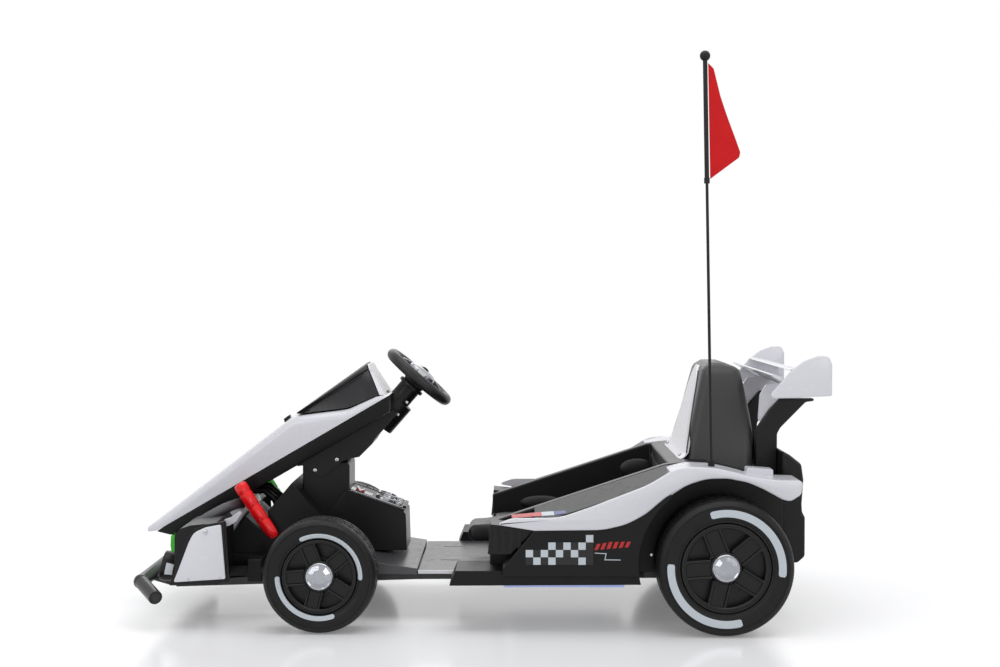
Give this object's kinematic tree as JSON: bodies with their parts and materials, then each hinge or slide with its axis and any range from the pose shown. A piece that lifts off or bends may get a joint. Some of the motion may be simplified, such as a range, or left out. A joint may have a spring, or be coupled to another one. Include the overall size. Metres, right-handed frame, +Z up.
{
  "type": "children's electric drift kart",
  "caption": "Low ride-on kart with a raised nose shell, tilted steering wheel, seat with side pods, rear wing, tube bumper and a pennant on a tall pole.",
  "frame": {"origin": "on the ground, in the middle of the length and width", "axes": "+X forward to the nose, +Y to the driver's left, +Z up"},
  "size_m": [1.25, 0.7, 1.0123],
  "materials": {
    "frame_black": "gloss",
    "body_black": "satin",
    "white_plastic": "gloss",
    "lens": "gloss",
    "glow": "gloss",
    "red_plastic": "gloss",
    "green_plastic": "gloss",
    "silver_trim": "polished",
    "floor_grey": "satin",
    "seat_grey": "satin",
    "seat_pad": "matte",
    "motor_grey": "matte",
    "steel": "satin",
    "flag_red": "matte",
    "grip_black": "satin",
    "tyre_black": "matte",
    "rim_black": "satin"
  },
  "bodies": {
    "chassis": {"chassis_frame": "frame_black", "bumper": "frame_black", "front_housings": "body_black", "front_plates": "white_plastic", "lamp_pods": "body_black", "lamp_lenses": "lens", "front_hood": "white_plastic", "front_grille": "green_plastic", "strut_left": "red_plastic", "strut_right": "green_plastic", "nose_shell": "white_plastic", "nose_band": "body_black", "cowl": "body_black", "nose_bracket": "body_black", "column_housing": "body_black", "pillar": "body_black", "front_boxes": "body_black", "console_box": "body_black", "console_panel": "silver_trim", "rocker_switch": "red_plastic", "floor_front": "floor_grey", "floor_rear": "floor_grey", "floor_strips": "silver_trim", "pedal": "body_black", "tub": "body_black", "side_pods": "body_black", "side_skirts": "body_black", "pod_panels": "white_plastic", "rib_blocks": "body_black", "glow_strips": "glow", "seat_cushion": "seat_pad", "seat_shell": "white_plastic", "seat_back": "seat_grey", "wing_posts": "body_black", "wing_fins": "white_plastic", "wing_blades": "white_plastic", "rear_cover": "body_black", "motors": "motor_grey", "battery": "motor_grey", "rear_axle": "steel", "flag_pole": "frame_black", "flag": "flag_red"},
    "steering": {"steering_wheel": "grip_black", "steering_hub": "silver_trim"},
    "tie_rod": {"tie_rod": "steel"},
    "knuckle_left": {"knuckle_left": "steel"},
    "knuckle_right": {"knuckle_right": "steel"},
    "wheel_front_left": {"tyre_front_left": "tyre_black", "rim_front_left": "rim_black"},
    "wheel_front_right": {"tyre_front_right": "tyre_black", "rim_front_right": "rim_black"},
    "wheel_rear_left": {"tyre_rear_left": "tyre_black", "rim_rear_left": "rim_black"},
    "wheel_rear_right": {"tyre_rear_right": "tyre_black", "rim_rear_right": "rim_black"}
  },
  "joints": [
    {"name": "steering", "type": "hinge", "parent": "chassis", "child": "steering", "pos_m": [0.113, 0, 0.431], "axis": [-0.6561, 0, 0.7547], "range_deg": [-40, 40]},
    {"name": "kingpin_left", "type": "hinge", "parent": "chassis", "child": "knuckle_left", "pos_m": [0.2705, 0.205, 0.0995], "axis": [0, 0, 1], "range_deg": [-25, 25]},
    {"name": "kingpin_right", "type": "hinge", "parent": "chassis", "child": "knuckle_right", "pos_m": [0.2705, -0.205, 0.0995], "axis": [0, 0, 1], "range_deg": [-25, 25]},
    {"name": "tie_rod_slide", "type": "slide", "parent": "chassis", "child": "tie_rod", "axis": [0, 1, 0], "range_m": [-0.02116, 0.02116]},
    {"name": "roll_front_left", "type": "hinge", "parent": "knuckle_left", "child": "wheel_front_left", "pos_m": [0.2705, 0.2825, 0.0995], "axis": [0, 1, 0], "continuous": true},
    {"name": "roll_front_right", "type": "hinge", "parent": "knuckle_right", "child": "wheel_front_right", "pos_m": [0.2705, -0.2825, 0.0995], "axis": [0, 1, 0], "continuous": true},
    {"name": "roll_rear_left", "type": "hinge", "parent": "chassis", "child": "wheel_rear_left", "pos_m": [-0.4325, 0.295, 0.1185], "axis": [0, 1, 0], "continuous": true},
    {"name": "roll_rear_right", "type": "hinge", "parent": "chassis", "child": "wheel_rear_right", "pos_m": [-0.4325, -0.295, 0.1185], "axis": [0, 1, 0], "continuous": true}
  ],
  "couplings": [
    {"joint": "kingpin_left", "follows": "steering", "ratio": 0.625},
    {"joint": "kingpin_right", "follows": "steering", "ratio": 0.625},
    {"joint": "tie_rod_slide", "follows": "steering", "m_per_rad": 0.0303}
  ]
}
